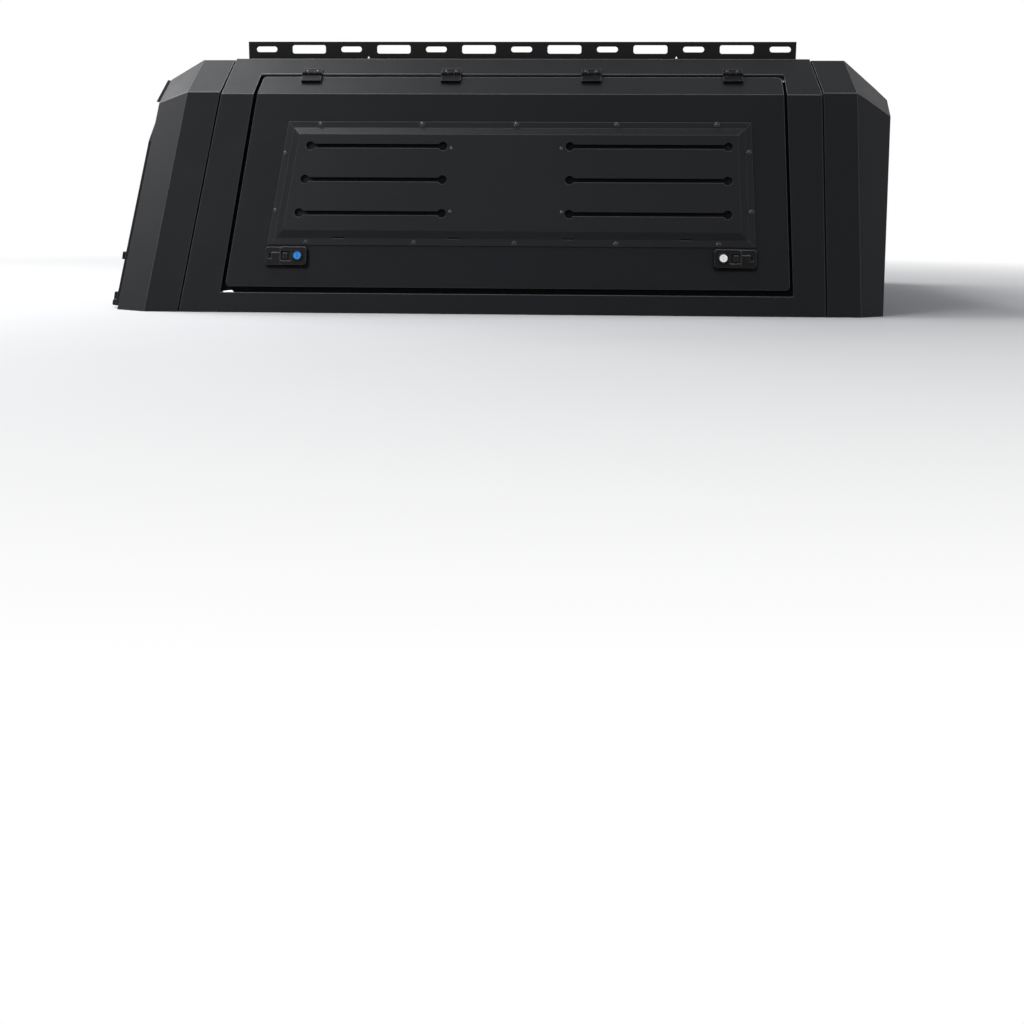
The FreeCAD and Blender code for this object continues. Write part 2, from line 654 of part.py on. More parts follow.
def build_plate():
    body = new_body("right_door_plate")
    on_side(body)
    rim = "plate_flange"
    face = "plate_flange + plate_bevel"
    pad(body, "XY_Plane", plate_outline("0"), length="plate_sheet")
    loft(body, "PartDesign::AdditiveLoft", plate_outline(rim), "plate_sheet", plate_outline(face),
         "plate_raise")
    loft(body, "PartDesign::SubtractiveLoft", plate_outline(f"{rim} + plate_sheet"), "0",
         plate_outline(f"{face} + plate_sheet"), "plate_raise - plate_sheet")
    doc.recompute()
    cuts, ends = [], []
    for row in (-1, 0, 1):
        level = f"(slot_middle + {row}*slot_pitch)"
        shift = f"({row}*slot_pitch*tan(plate_rear_rake))"
        spans = ((f"(slot_rear_start + {shift})", "slot_rear_end"), ("slot_front_start", "slot_front_end"))
        for start, end in spans:
            cuts.append(rectangle(start, f"{level} - slot_height/2", end, f"{level} + slot_height/2"))
            ends += [circle(x, level, "slot_hole/2") for x in (start, end)]
    for outer, inner in zip(sum(plate_corners("0"), []), sum(plate_corners(face), [])):
        cuts.append(polygon((outer[0], f"{outer[1]} - mitre_gap/2"), (inner[0], f"{inner[1]} - mitre_gap/2"),
                            (inner[0], f"{inner[1]} + mitre_gap/2"), (outer[0], f"{outer[1]} + mitre_gap/2")))
    foot = "(plate_bottom + plate_flange + drain_height/2)"
    for step in range(4):
        start = f"(drain_first + {step}*drain_pitch - drain_length/2)"
        cuts.append(rectangle(start, f"{foot} - drain_height/2", f"{start} + drain_length",
                              f"{foot} + drain_height/2"))
    pocket(body, "XY_Plane", *cuts)
    pocket(body, "XY_Plane", *ends)
    return finished(body)


def build_latch(label, middle, way):
    """A housing with a low end, a slide, a sunk paddle and a seat for the key cap, and the cap itself."""
    body = new_body(label)
    on_side(body)

    def at(distance):
        return f"({middle} + {way}*({distance}))"

    def block(start, end, height):
        low, high = f"(latch_rise - ({height})/2)", f"(latch_rise + ({height})/2)"
        return rectangle(at(start), low, at(end), high)

    def chamfered(start, end):
        low, high = "(latch_rise - latch_height/2)", "(latch_rise + latch_height/2)"
        cut = "latch_corner"
        after, before = at(f"{start} + {cut}"), at(f"{end} - {cut}")
        return polygon((at(start), f"{low} + {cut}"), (after, low), (before, low),
                       (at(end), f"{low} + {cut}"), (at(end), f"{high} - {cut}"), (before, high),
                       (after, high), (at(start), f"{high} - {cut}"))
    pad(body, "XY_Plane", chamfered("-latch_length/2", "latch_length/2"), length="latch_base")
    pad(body, "XY_Plane", chamfered("latch_step", "latch_length/2"), length="latch_depth - latch_base",
        offset="latch_base")
    pad(body, "XY_Plane", block("slide_hole_end", "latch_step", "slide_height"), length="slide_raise",
        offset="latch_base")
    recess(body, "XY_Plane", block("slide_hole_start", "slide_hole_end", "slide_hole_height"),
           top="latch_base", depth="paddle_sink")
    recess(body, "XY_Plane", block("paddle_start", "paddle_end", "paddle_height"),
           top="latch_depth", depth="paddle_sink")
    recess(body, "XY_Plane", circle(at("key_offset"), "latch_rise", "key_radius + pin_gap"),
           top="latch_depth", depth="paddle_sink")
    paddle = "(paddle_height - 2*paddle_margin)"
    pad(body, "XY_Plane", block("paddle_start + paddle_margin", "paddle_end - 2*paddle_margin", paddle),
        length="paddle_sink", offset="latch_depth - paddle_sink")
    finished(body)
    cap = new_body(label.replace("latch", "key_cap"))
    on_side(cap)
    pad(cap, "XY_Plane", circle(at("key_offset"), "latch_rise", "key_radius"),
        length="paddle_sink + key_depth", offset="latch_depth - paddle_sink")
    x, half, reach = at("key_offset"), "key_slot/2", "key_radius/2"
    slot = rectangle(f"{x} - {half}", f"latch_rise - {reach}", f"{x} + {half}", f"latch_rise + {reach}")
    recess(cap, "XY_Plane", slot, top="latch_depth + key_depth", depth="key_depth")
    return finished(cap)


def hinge_places():
    return [f"(hinge_middle + {step}*hinge_pitch)" for step in (-1.5, -0.5, 0.5, 1.5)]


HINGE_RUN = "(door_lap + door_gap/2)"


def on_hinge(body):
    """Puts the body's X axis on the door's hinge line: Y up the shoulder, Z outwards."""
    y, z = shoulder(HINGE_RUN, "-knuckle_rise")
    stand(body, y=minus(y), z=z, tilt="centre_angle")


def leaf(direction):
    """The section of the neck between a leaf and its barrel, up the shoulder or down."""
    top, low = "(-knuckle_rise + hinge_sheet)", "-knuckle_rise"
    neck = "(-knuckle_radius + weld_lap)"
    return polygon((f"{direction}*hinge_leaf", low), (f"{direction}*knuckle_rise", low), ("0", neck),
                   ("0", f"{neck} + hinge_sheet"), (f"{direction}*knuckle_rise", top),
                   (f"{direction}*hinge_leaf", top))


def flat_leaf(direction, thickness):
    return rectangle(f"{direction}*hinge_leaf", "-knuckle_rise", f"{direction}*knuckle_rise",
                     f"-knuckle_rise + {thickness}")


def build_frame_leaves():
    """The upper leaves with their outer barrels and the pins."""
    body = new_body("right_frame_hinge_leaves")
    on_hinge(body)
    for middle in hinge_places():
        start, end = f"({middle} - hinge_width/2)", f"({middle} + hinge_width/2)"
        third, far_third = f"({middle} - hinge_width/6)", f"({middle} + hinge_width/6)"
        pad(body, "YZ_Plane", flat_leaf("1", "hinge_sheet"), length=f"{end} - {start}", offset=start)
        for low, high in ((start, third), (far_third, end)):
            pad(body, "YZ_Plane", circle("0", "0", "knuckle_radius"), length=f"{high} - {low}", offset=low)
            pad(body, "YZ_Plane", leaf("1"), length=f"{high} - {low}", offset=low)
        pad(body, "YZ_Plane", circle("0", "0", "pin_radius"), length=f"{far_third} - {third}", offset=third)
    return finished(body)


def build_door_leaves():
    """The lower leaves, whose middle barrels turn on the pins."""
    body = new_body("right_door_hinge_leaves")
    on_hinge(body)
    for middle in hinge_places():
        start, end = f"({middle} - hinge_width/2)", f"({middle} + hinge_width/2)"
        low, high = f"({middle} - hinge_width/6 + knuckle_gap)", f"({middle} + hinge_width/6 - knuckle_gap)"
        pad(body, "YZ_Plane", flat_leaf("-1", "hinge_block"), length=f"{end} - {start}", offset=start)
        pad(body, "YZ_Plane", circle("0", "0", "knuckle_radius"), length=f"{high} - {low}", offset=low)
        pad(body, "YZ_Plane", leaf("-1"), length=f"{high} - {low}", offset=low)
    pocket(body, "YZ_Plane", circle("0", "0", "pin_radius + pin_gap"))
    return finished(body)


# Roof rails

def build_rail():
    """A slotted web on a foot that lies on the roof."""
    body = new_body("right_roof_rail")
    face = f"({roof_edge('0')[0]} - rail_inset)"
    top, low = "(centre_roof + rail_height)", "centre_roof"
    floor = f"({low} + rail_sheet)"
    pad(body, "YZ_Plane", right_side(
        (face, low), (face, top), (f"{face} - rail_sheet", top), (f"{face} - rail_sheet", floor),
        (f"{face} - rail_foot", floor), (f"{face} - rail_foot", low)),
        length="rail_front - rail_rear", offset="rail_rear")
    row = "(centre_roof + rail_slot_rise)"
    slots = [stadium(f"(rail_middle + {n}*rail_pitch)", row, "short_slot_length", "short_slot_height")
             for n in range(-3, 4)]
    slots += [rounded(f"(rail_middle + {n + 0.5}*rail_pitch)", row, "long_slot_length", "long_slot_height",
                      "long_slot_corner") for n in range(-3, 3)]
    pocket(body, "XZ_Plane", *slots)
    half = "rail_notch/2"
    for x in ("rail_notch_rear", "rail_notch_front"):
        notch = polygon((f"{x} - {half}", low), (f"{x} + {half}", low), (x, f"{low} + rail_notch"))
        recess(body, "XZ_Plane", notch, top=face, depth="rail_sheet")
    return finished(body)


# Rear hatch, in the frame of the rear face: X to the right, Y up the face, Z outwards

def on_rear(body):
    stand(body, x="rear_base", yaw="-90", tilt="90 - rear_rake")


CORNER_SPREAD = "((tan(rear_rake) - tan(rear_crease_rake))/(rear_base - rear_crease_base))"


def rear_corner_y(rise):
    """Distance of the rear face's edge from the middle, so far up the face."""
    height = f"(({rise})*cos(rear_rake))"
    return f"({side_y(height)} - rear_corner_inset*(1 + {height}*{CORNER_SPREAD}))"


def hatch_edge(inset, low, high):
    """The right half of an outline on the rear face, so far in from its edge."""
    slope = f"(cos(rear_rake)*(tan(tumblehome) + rear_corner_inset*{CORNER_SPREAD}))"
    past = f"(({inset}) - hatch_inset)"
    turn = f"(hatch_turn - {past}*(1/cos(hatch_corner_angle) - 1)/(tan(hatch_corner_angle) - {slope}))"
    mid = f"({rear_corner_y(turn)} - ({inset}))"
    return [(f"({rear_corner_y(low)} - ({inset}))", low), (mid, turn),
            (f"({mid} - (({high}) - {turn})*tan(hatch_corner_angle))", high)]


GLASS_INSET = "hatch_inset + hatch_border"


def build_hatch():
    frame = new_body("hatch_frame")
    on_rear(frame)
    hole = hatch_edge(GLASS_INSET, "(hatch_bottom + hatch_border)", f"({HATCH_TOP} - hatch_border)")
    pad(frame, "XY_Plane", polygon(*across(hatch_edge("hatch_inset", "hatch_bottom", HATCH_TOP))),
        polygon(*across(hole)), length="hatch_depth", offset="hatch_stand")
    finished(frame)
    glass = new_body("hatch_glass")
    on_rear(glass)
    pad(glass, "XY_Plane", polygon(*across(hole)), length="glass_depth",
        offset="hatch_stand + (hatch_depth - glass_depth)/2")
    return finished(glass)


OPENING_TOP = f"({REAR_CORNER}/cos(rear_rake))"


def build_hatch_seal():
    """Rubber around the sides and the top of the rear opening."""
    body = new_body("hatch_seal")
    on_rear(body)
    gap, far = "hatch_seal_margin", "(hatch_seal_margin + hatch_seal_width)"
    outer = hatch_edge(f"(opening_inset - {far})", "hatch_bottom", f"({OPENING_TOP} + {far})")
    inner = hatch_edge(f"(opening_inset - {gap})", "hatch_bottom", f"({OPENING_TOP} + {gap})")
    pad(body, "XY_Plane", polygon(*across(outer), *reversed(across(inner))), length="hatch_seal_height")
    return finished(body)


HATCH_PIN = (f"({HATCH_TOP} + hatch_pin_rise)", "(hatch_stand + hatch_depth + hatch_pin_stand)")


def hatch_hinge_thirds():
    for side in (-1, 1):
        middle = f"({side}*hatch_hinge_spread)"
        yield (f"({middle} - hatch_hinge_width/2)", f"({middle} - hatch_hinge_width/6)",
               f"({middle} + hatch_hinge_width/6)", f"({middle} + hatch_hinge_width/2)")


def build_hatch_arms():
    """Straps on the sloped rear roof that carry the hatch's pins."""
    body = new_body("hatch_hinge_arms")
    on_rear(body)
    pin_y, pin_z = HATCH_PIN
    run = f"(rear_roof_end - rear_base - {REAR_LIP}*tan(rear_rake))"
    turn = f"(rear_rake*1 deg + atan(rear_drop/{run}))"
    edge_y = f"({REAR_LIP}/cos(rear_rake))"
    back = (f"({edge_y} + strap_length*sin({turn}))", f"(-strap_length*cos({turn}))")
    up = (f"hinge_sheet*cos({turn})", f"hinge_sheet*sin({turn})")
    strap = polygon(back, (edge_y, "0"), (f"{pin_y} - strap_half", pin_z), (f"{pin_y} + strap_half", pin_z),
                    (f"{edge_y} + {up[0]}", up[1]), (f"{back[0]} + {up[0]}", f"{back[1]} + {up[1]}"))
    for start, third, far_third, end in hatch_hinge_thirds():
        for low, high in ((start, third), (far_third, end)):
            pad(body, "YZ_Plane", strap, length=f"{high} - {low}", offset=low)
            pad(body, "YZ_Plane", circle(pin_y, pin_z, "knuckle_radius"), length=f"{high} - {low}", offset=low)
        pad(body, "YZ_Plane", circle(pin_y, pin_z, "pin_radius"), length=f"{far_third} - {third}", offset=third)
    return finished(body)


def build_hatch_leaves():
    """Leaves on the hatch's outer face, whose barrels turn on the pins."""
    body = new_body("hatch_hinge_leaves")
    on_rear(body)
    pin_y, pin_z = HATCH_PIN
    face = "(hatch_stand + hatch_depth)"
    tip = f"({HATCH_TOP} - blade_length)"
    edge = "(knuckle_radius - weld_lap)"
    blade = polygon((tip, face), (HATCH_TOP, face), (pin_y, f"{pin_z} - {edge}"), (f"{pin_y} - {edge}", pin_z),
                    (f"{HATCH_TOP} - hinge_sheet", f"{face} + hinge_sheet"), (tip, f"{face} + hinge_sheet"))
    for _, third, far_third, _ in hatch_hinge_thirds():
        low, high = f"({third} + knuckle_gap)", f"({far_third} - knuckle_gap)"
        pad(body, "YZ_Plane", blade, length=f"{high} - {low}", offset=low)
        pad(body, "YZ_Plane", circle(pin_y, pin_z, "knuckle_radius"), length=f"{high} - {low}", offset=low)
    pocket(body, "YZ_Plane", circle(pin_y, pin_z, "pin_radius + pin_gap"))
    return finished(body)


def beside_hatch_edge(side, rise, inset):
    """A place on the hatch, so far in from its side edge."""
    return f"({side}*({rear_corner_y(rise)} - hatch_inset - {inset}))"


def build_hatch_catches():
    """Two catches near each lower corner of the hatch."""
    body = new_body("hatch_catches")
    on_rear(body)
    half, tall = "catch_length/2", "catch_height/2"
    for side in (-1, 1):
        for rise in ("catch_low", "catch_high"):
            x = beside_hatch_edge(side, rise, "catch_inset")
            block = rectangle(f"{x} - {half}", f"{rise} - {tall}", f"{x} + {half}", f"{rise} + {tall}")
            pad(body, "XY_Plane", block, length="catch_depth", offset="hatch_stand + hatch_depth")
    return finished(body)


def build_hatch_knobs():
    body = new_body("hatch_knobs")
    on_rear(body)
    for side in (-1, 1):
        x = beside_hatch_edge(side, "knob_rise", "knob_inset")
        pad(body, "XY_Plane", circle(x, "knob_rise", "knob_radius"), length="knob_length",
            offset="hatch_stand + hatch_depth")
    return finished(body)


def build_gutter():
    """Strips over the hatch that lead rain aside, open at the hinges."""
    body = new_body("rear_gutter")
    on_rear(body)
    lip = f"({REAR_LIP}/cos(rear_rake) - gutter_margin)"

    def cut_x(rise, inset):
        return (f"({rear_corner_y(OPENING_TOP)} - ({rise} - {OPENING_TOP})*tan(rear_cut_angle)"
                f" - ({inset})/cos(rear_cut_angle))")
    low = f"({OPENING_TOP} + gutter_margin)"
    beside = "(hatch_hinge_width/2 + gutter_gap)"
    deep = "(gutter_margin + gutter_sheet)"
    under = f"({lip} - gutter_sheet)"
    end = [(f"hatch_hinge_spread + {beside}", lip), (f"hatch_hinge_spread + {beside}", under),
           (cut_x(under, deep), under), (cut_x(low, deep), low), (cut_x(low, "gutter_margin"), low),
           (cut_x(lip, "gutter_margin"), lip)]
    pad(body, "XY_Plane", polygon(*end), length="gutter_height")
    pad(body, "XY_Plane", polygon(*[(minus(x), y) for x, y in reversed(end)]), length="gutter_height")
    inner = f"(hatch_hinge_spread - {beside})"
    pad(body, "XY_Plane", rectangle(minus(inner), under, inner, lip), length="gutter_height")
    return finished(body)


# Front window

def front_face(height):
    return f"(front_base + ({height})*tan(front_lean))"


def window_slice(near, far, low, high):
    return polygon((f"{front_face(low)} - ({near})", low), (f"{front_face(high)} - ({near})", high),
                   (f"{front_face(high)} - ({far})", high), (f"{front_face(low)} - ({far})", low))


def build_window():
    rim = new_body("front_window_seal")
    pad(rim, "XZ_Plane", window_slice("window_seal_sink", "window_seal_sink + window_seal_depth",
                                      "window_bottom", WINDOW_TOP), length="2*window_half", both=True)
    inner = ("window_half - window_border", "window_bottom + window_border", f"{WINDOW_TOP} - window_border")
    pocket(rim, "YZ_Plane", rectangle(minus(inner[0]), inner[1], inner[0], inner[2]))
    finished(rim)
    pane = new_body("front_window")
    pad(pane, "XZ_Plane", window_slice("window_sink", "window_sink + glass_depth", inner[1], inner[2]),
        length=f"2*({inner[0]})", both=True)
    return finished(pane)


# End caps: faceted solids bounded by planes, cut from the outer form and its inward offset

def facet(a, b, c):
    """The plane through three points, as a point and its outward normal."""
    normal = (b - a).cross(c - a).normalize()
    inside = Vector(0, 0, number("crease_height")/2)
    if (inside - a).dot(normal) > 0:
        normal = -normal
    return a, normal


def convex(planes, depth):
    """The solid that the planes bound, each moved in by the depth."""
    extent = float(REACH)/2
    solid = Part.makeBox(2*extent, 2*extent, 2*extent, Vector(-extent, -extent, -extent))
    for point, normal in planes:
        slab = Part.makeBox(4*extent, 4*extent, 2*extent, Vector(-2*extent, -2*extent, 0))
        slab.Placement = Placement(point - normal*depth, Rotation(Vector(0, 0, 1), normal))
        solid = solid.cut(slab)
    return solid


def both_sides(*triples):
    """Facets through the right side's points, and the same ones on the left."""
    flip = [[Vector(p.x, -p.y, p.z) for p in triple] for triple in triples]
    return [facet(*triple) for triple in (*triples, *flip)]


def y_on(plane, x, z):
    """Where a plane passes x and z."""
    point, normal = plane
    return point.y - (normal.x*(x - point.x) + normal.z*(z - point.z))/normal.y


def prism(points):
    """An outline of the side view, drawn out across the vehicle."""
    length = float(REACH)
    wire = Part.makePolygon([Vector(x, -length/2, z) for x, z in points + points[:1]])
    return Part.Face(wire).extrude(Vector(0, length, 0))


def cap_feature(label, shape):
    part = doc.addObject("Part::Feature", label)
    part.Label = label
    part.Shape = shape.removeSplitter()
    part.Placement = Placement()
    return finished(part)


def section_planes():
    low, high = Vector(0, -number("half_width"), 0), number("crease_height")
    fold = Vector(0, -number(side_y("crease_height")), high)
    roof = number("roof_height")
    edge = Vector(0, fold.y + (roof - high)/math.tan(math.radians(number("shoulder_angle"))), roof)
    along = Vector(1, 0, 0)
    planes = both_sides((low, low + along, fold), (fold, fold + along, edge))
    planes.append(facet(edge, edge + along, edge + Vector(0, 1, 0)))
    return planes, fold, edge


def rear_planes():
    planes, fold, edge = section_planes()
    half = number("half_width")
    foot = number("rear_base")
    across_y = Vector(0, 1, 0)

    def face_x(z):
        return foot + z*math.tan(math.radians(number("rear_rake")))
    crease_low = Vector(number("rear_crease_base"), -half, 0)
    rake = math.tan(math.radians(number("rear_crease_rake")))
    crease_high = Vector(crease_low.x + fold.z*rake, fold.y, fold.z)
    corner = (crease_low, crease_high, Vector(foot, -half + number("rear_corner_inset"), 0))
    top = number(REAR_CORNER)
    outer = Vector(face_x(top), y_on(facet(*corner), face_x(top), top), top)
    roof_corner = Vector(number("rear_roof_end"), edge.y, edge.z)
    planes += both_sides(corner, (roof_corner, crease_high, outer))
    face = Vector(foot, 0, 0)
    planes.append(facet(face, face + across_y, Vector(face_x(top), 0, top)))
    lip = number(REAR_LIP)
    planes.append(facet(roof_corner, roof_corner + across_y, Vector(face_x(lip), 0, lip)))
    return planes, [crease_high, outer]


def front_planes():
    planes, fold, edge = section_planes()
    half = number("half_width")
    foot = number("front_base")
    across_y = Vector(0, 1, 0)

    def face_x(z):
        return foot + z*math.tan(math.radians(number("front_lean")))
    crease_low = Vector(number("front_crease_base"), -half, 0)
    lean = math.tan(math.radians(number("front_crease_lean")))
    crease_high = Vector(crease_low.x - fold.z*lean, fold.y, fold.z)
    corner = (crease_low, crease_high, Vector(foot, -half + number("front_corner_inset"), 0))
    top = number(FRONT_CORNER)
    outer = Vector(face_x(top), y_on(facet(*corner), face_x(top), top), top)
    parting = Vector(number("front_facet_x"), 0, number(FRONT_FACET))
    parting.y = y_on(facet(*corner), parting.x, parting.z)
    roof_corner = Vector(number("front_roof_end"), edge.y, edge.z)
    upper = (roof_corner, crease_high, parting)
    fall = math.tan(math.radians(number("front_slope")))
    crown = Vector(number("front_facet_top"), 0, 0)
    crown.z = edge.z - (crown.x - roof_corner.x)*fall
    crown.y = y_on(facet(*upper), crown.x, crown.z)
    planes += both_sides(corner, upper, (parting, outer, crown))
    face = Vector(foot, 0, 0)
    planes.append(facet(face, face + across_y, Vector(face_x(top), 0, top)))
    planes.append(facet(roof_corner, roof_corner + across_y, Vector(crown.x, 0, crown.z)))
    return planes, [crease_high, parting, outer]


def cap_shell(planes, seam, groove):
    """The hollow cap up to its joint, with the open groove beside the joint."""
    outer = convex(planes, 0)
    shell = outer.cut(convex(planes, number("wall"))).common(prism(seam))
    return shell.cut(outer.cut(convex(planes, number("seam_depth"))).common(prism(groove)))


def split(shell, folds, far):
    """The cap above its folds, and its right side below them; between the last folds it parts level."""
    high, last = number(CEILING), folds[-1]
    line = [(0, folds[0].z)] + [(p.x, p.z) for p in folds] + [(far, last.z)]
    upper = prism(line + [(far, high), (0, high)])
    level = Part.makeBox(abs(far), 2*abs(last.y), high - last.z, Vector(min(0, far), -abs(last.y), last.z))
    below = shell.cut(upper).cut(level)
    return shell.common(upper.fuse(level)), [part for part in below.Solids if part.CenterOfMass.y < 0]


def build_rear_cap():
    high = number(CEILING)
    low_x, high_x, gap = number(rear_seam("0")), number(rear_seam(CEILING)), number("seam_gap")
    back = low_x - number("half_width")
    planes, folds = rear_planes()
    shell = cap_shell(planes, [(back, 0), (low_x, 0), (high_x, high), (back, high)],
                      [(low_x - gap, 0), (low_x, 0), (high_x, high), (high_x - gap, high)])
    half = [(number(x), number(rise)*math.cos(math.radians(number("rear_rake"))))
            for x, rise in hatch_edge("opening_inset", "(-wall)", OPENING_TOP)]
    corners = [Vector(back, y, z) for y, z in half + [(-y, z) for y, z in reversed(half)]]
    hole = Part.Face(Part.makePolygon(corners + corners[:1]))
    shell = shell.cut(hole.extrude(Vector(2*number("half_width"), 0, 0)))
    above, sides = split(shell, folds, back)
    cap_feature("rear_header", above)
    cap_feature("rear_right_pillar", sides[0])


def build_front_cap():
    high = number(CEILING)
    fold, gap = number("crease_height"), number("seam_gap")
    planes, folds = front_planes()
    line = [(number(front_seam("0")), 0), (number(front_seam("crease_height")), fold),
            (number(front_seam_top(CEILING)), high)]
    ahead = line[0][0] + number("half_width")
    shell = cap_shell(planes, line + [(ahead, high), (ahead, 0)],
                      line + [(x + gap, z) for x, z in reversed(line)])
    half, low, top = number("window_half"), number("window_bottom"), number(WINDOW_TOP)
    shell = shell.cut(Part.makeBox(ahead, 2*half, top - low, Vector(0, -half, low)))
    foot = Part.makeBox(ahead, 2*half, low, Vector(0, -half, 0))
    lintel = Part.makeBox(ahead, 2*half, folds[-1].z - top, Vector(0, -half, top))
    above, sides = split(shell.cut(foot).cut(lintel), folds, ahead)
    cap_feature("front_header", above.fuse(shell.common(lintel)))
    cap_feature("front_sill", shell.common(foot))
    cap_feature("front_right_pillar", sides[0])


build_roof()
build_header()
build_side_wall()
build_seal()
build_door()
build_plate()
build_latch("right_door_rear_latch", "latch_rear", 1)
build_latch("right_door_front_latch", "latch_front", -1)
build_frame_leaves()
build_door_leaves()
build_rail()
build_hatch()
build_hatch_seal()
build_hatch_arms()
build_hatch_leaves()
build_hatch_catches()
build_hatch_knobs()
build_gutter()
build_window()
build_rear_cap()
build_front_cap()
doc.recompute()
for piece in [part for part in SUBPARTS if "right" in part.Label]:
    mirrored(piece)
doc.recompute()

for item in doc.Objects:
    if "Invalid" in item.State or "Error" in item.State:
        raise RuntimeError(f"{item.Name} did not compute: {item.State}")
for part in SUBPARTS:
    if part.Shape.isNull() or not part.Shape.isValid() or not part.Shape.Solids:
        raise RuntimeError(f"{part.Label} is not a valid solid")

os.makedirs("parts", exist_ok=True)
for part in SUBPARTS:
    part.Shape.exportStep(f"parts/{part.Label}.step")
    box = part.Shape.BoundBox
    print(f"{part.Label:28} {len(part.Shape.Solids)} solids {part.Shape.Volume/1e6:8.4f} dm3",
          [round(v, 1) for v in (box.XMin, box.XMax, box.YMin, box.YMax, box.ZMin, box.ZMax)])
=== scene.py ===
import bmesh
import bpy
import math
from mathutils import Matrix, Vector


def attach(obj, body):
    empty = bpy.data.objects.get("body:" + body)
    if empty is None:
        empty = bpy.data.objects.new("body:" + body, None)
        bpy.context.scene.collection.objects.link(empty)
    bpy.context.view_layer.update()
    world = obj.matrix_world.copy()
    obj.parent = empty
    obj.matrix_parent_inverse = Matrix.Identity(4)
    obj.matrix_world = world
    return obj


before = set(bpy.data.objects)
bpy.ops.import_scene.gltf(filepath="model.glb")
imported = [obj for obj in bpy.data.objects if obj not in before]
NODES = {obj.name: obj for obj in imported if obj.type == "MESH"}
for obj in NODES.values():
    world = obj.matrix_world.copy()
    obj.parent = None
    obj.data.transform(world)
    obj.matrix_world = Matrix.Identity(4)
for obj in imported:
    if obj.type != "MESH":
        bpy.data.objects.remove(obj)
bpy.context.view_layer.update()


# Frames of the faces that carry small pieces, as in the part's source, in metres

TUMBLEHOME = math.radians(15)
SHOULDER = math.radians(39.1)
RAKE = math.radians(10.04)
HALF_WIDTH = 0.75
HINGE_LINE = (-0.58178, 0.50270)
HATCH_FACE = -0.81805


def basis(origin, x, y):
    """A frame from its origin and two axes."""
    x, y = Vector(x), Vector(y)
    turn = Matrix((x, y, x.cross(y))).transposed().to_4x4()
    return Matrix.Translation(Vector(origin)) @ turn


SIDE = basis((0, -HALF_WIDTH, 0), (1, 0, 0), (0, math.sin(TUMBLEHOME), math.cos(TUMBLEHOME)))
HINGE = basis((0, *HINGE_LINE), (1, 0, 0), (0, math.cos(SHOULDER), math.sin(SHOULDER)))
REAR = basis((HATCH_FACE, 0, 0), (0, -1, 0), (math.sin(RAKE), 0, math.cos(RAKE)))
HANDS = {"right": Matrix.Identity(4), "left": Matrix.Diagonal((1, -1, 1, 1))}


# Shader helpers

MIX_SHARE, MIX_FIRST, MIX_SECOND, MIX_RESULT = 0, 6, 7, 2


def new_material(name, colour, roughness, metallic=0.0):
    """A material with its node tree and its main shader."""
    material = bpy.data.materials.new(name)
    material.use_nodes = True
    shader = material.node_tree.nodes["Principled BSDF"]
    shader.inputs["Base Color"].default_value = (*colour, 1)
    shader.inputs["Roughness"].default_value = roughness
    shader.inputs["Metallic"].default_value = metallic
    return material, material.node_tree, shader


def node(tree, kind, **settings):
    """A node with values for its sockets and its own settings."""
    made = tree.nodes.new(kind)
    for key, value in settings.items():
        if key in made.inputs:
            made.inputs[key].default_value = value
        else:
            setattr(made, key, value)
    return made


def noise(tree, scale, detail, rough=0.5):
    """Noise in the object's own space, with so many bumps to the metre."""
    where = node(tree, "ShaderNodeTexCoord")
    made = node(tree, "ShaderNodeTexNoise", Scale=scale, Detail=detail, Roughness=rough)
    tree.links.new(where.outputs["Object"], made.inputs["Vector"])
    return made.outputs["Fac"]


def spread(tree, value, low, high, start=0.3, end=0.7):
    """Turns the range from start to end into the one from low to high."""
    ends = {"From Min": start, "From Max": end, "To Min": low, "To Max": high}
    made = node(tree, "ShaderNodeMapRange", **ends)
    tree.links.new(value, made.inputs["Value"])
    return made.outputs["Result"]


def mix(tree, share, first, second):
    """A blend of two colours, each a socket or a plain value."""
    made = node(tree, "ShaderNodeMix", data_type="RGBA")
    for index, value in ((MIX_SHARE, share), (MIX_FIRST, first), (MIX_SECOND, second)):
        if isinstance(value, bpy.types.NodeSocket):
            tree.links.new(value, made.inputs[index])
        else:
            made.inputs[index].default_value = (*value, 1)
    return made.outputs[MIX_RESULT]


def tint(colour, factor):
    """The same colour, darker or lighter."""
    return tuple(c*factor for c in colour)


def grain(tree, shader, height, strength, distance):
    """Small bumps on the surface, up to a distance high."""
    made = node(tree, "ShaderNodeBump", Strength=strength, Distance=distance)
    tree.links.new(height, made.inputs["Height"])
    tree.links.new(made.outputs["Normal"], shader.inputs["Normal"])


def uneven(tree, shader, low, high, scale, detail):
    """Lets the roughness wander between two values."""
    wander = spread(tree, noise(tree, scale, detail), low, high)
    tree.links.new(wander, shader.inputs["Roughness"])


# Painted highlights on the folds

EDGE_RADIUS = 0.0026
EDGE_COSINE = (0.955, 0.997)
EDGE_RISE = (0.15, 0.5)
HIGHLIGHT_BENEATH = 0.1


